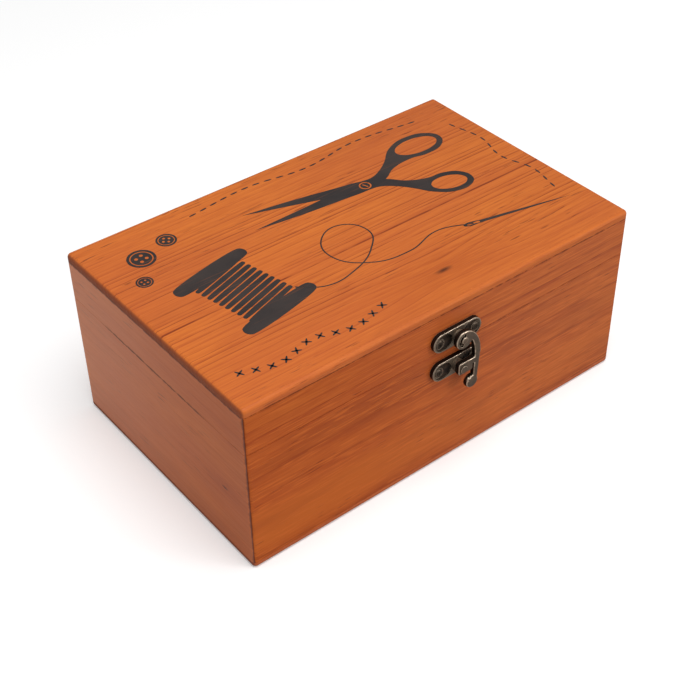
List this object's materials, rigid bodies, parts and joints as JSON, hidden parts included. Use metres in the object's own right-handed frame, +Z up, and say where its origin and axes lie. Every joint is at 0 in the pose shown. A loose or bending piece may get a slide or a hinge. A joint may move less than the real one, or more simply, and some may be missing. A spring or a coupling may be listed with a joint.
{
  "type": "sewing box",
  "caption": "Hinged wooden box with mitred walls, a swing-hook hasp on the front and a lift-out tray with compartments inside.",
  "frame": {"origin": "centre of the box's underside, where it stands", "axes": "+X along the front from left to right, +Y from the front to the back, +Z up"},
  "size_m": [0.215, 0.1454, 0.0895],
  "materials": {
    "stained_wood": "orange-brown stain under a thin satin varnish",
    "tray_wood": "plain sanded pine",
    "antique_bronze": "antique bronze plating, worn bright along raised edges",
    "brad_steel": "bare steel"
  },
  "bodies": {
    "base": {"base_front_wall": "stained_wood", "base_right_wall": "stained_wood", "base_back_wall": "stained_wood", "base_left_wall": "stained_wood", "base_bottom_panel": "stained_wood", "base_brads": "brad_steel", "tray_ledge_left": "tray_wood", "tray_ledge_right": "tray_wood", "hinge_left_base_leaf": "antique_bronze", "hinge_left_pin": "antique_bronze", "hinge_right_base_leaf": "antique_bronze", "hinge_right_pin": "antique_bronze", "hinge_base_screws": "antique_bronze", "hasp_base_plate": "antique_bronze", "hasp_rivet": "antique_bronze", "hasp_base_screws": "antique_bronze"},
    "lid": {"lid_front_rail": "stained_wood", "lid_right_rail": "stained_wood", "lid_back_rail": "stained_wood", "lid_left_rail": "stained_wood", "lid_top_panel": "stained_wood", "hinge_left_lid_leaf": "antique_bronze", "hinge_right_lid_leaf": "antique_bronze", "hinge_lid_screws": "antique_bronze", "hasp_lid_plate": "antique_bronze", "hasp_catch_post": "antique_bronze", "hasp_lid_screws": "antique_bronze"},
    "hook": {"hasp_hook": "antique_bronze"},
    "tray": {"tray_front_wall": "tray_wood", "tray_right_wall": "tray_wood", "tray_back_wall": "tray_wood", "tray_left_wall": "tray_wood", "tray_floor": "tray_wood", "tray_long_divider": "tray_wood", "tray_cross_divider_left": "tray_wood", "tray_cross_divider_right": "tray_wood"}
  },
  "joints": [
    {"name": "lid_hinge", "type": "hinge", "parent": "base", "child": "lid", "pos_m": [0, 0.0691, 0.06575], "axis": [-1, 0, 0], "range_deg": [0, 105]},
    {"name": "hook_swing", "type": "hinge", "parent": "base", "child": "hook", "pos_m": [0.002, -0.0715, 0.0561], "axis": [0, 1, 0], "range_deg": [0, 100]},
    {"name": "tray_lift", "type": "slide", "parent": "base", "child": "tray", "axis": [0, 0, 1], "range_m": [0, 0.045]}
  ],
  "couplings": [
    {"joint": "tray_lift", "follows": "lid_hinge", "m_per_rad": 0.0245}
  ]
}
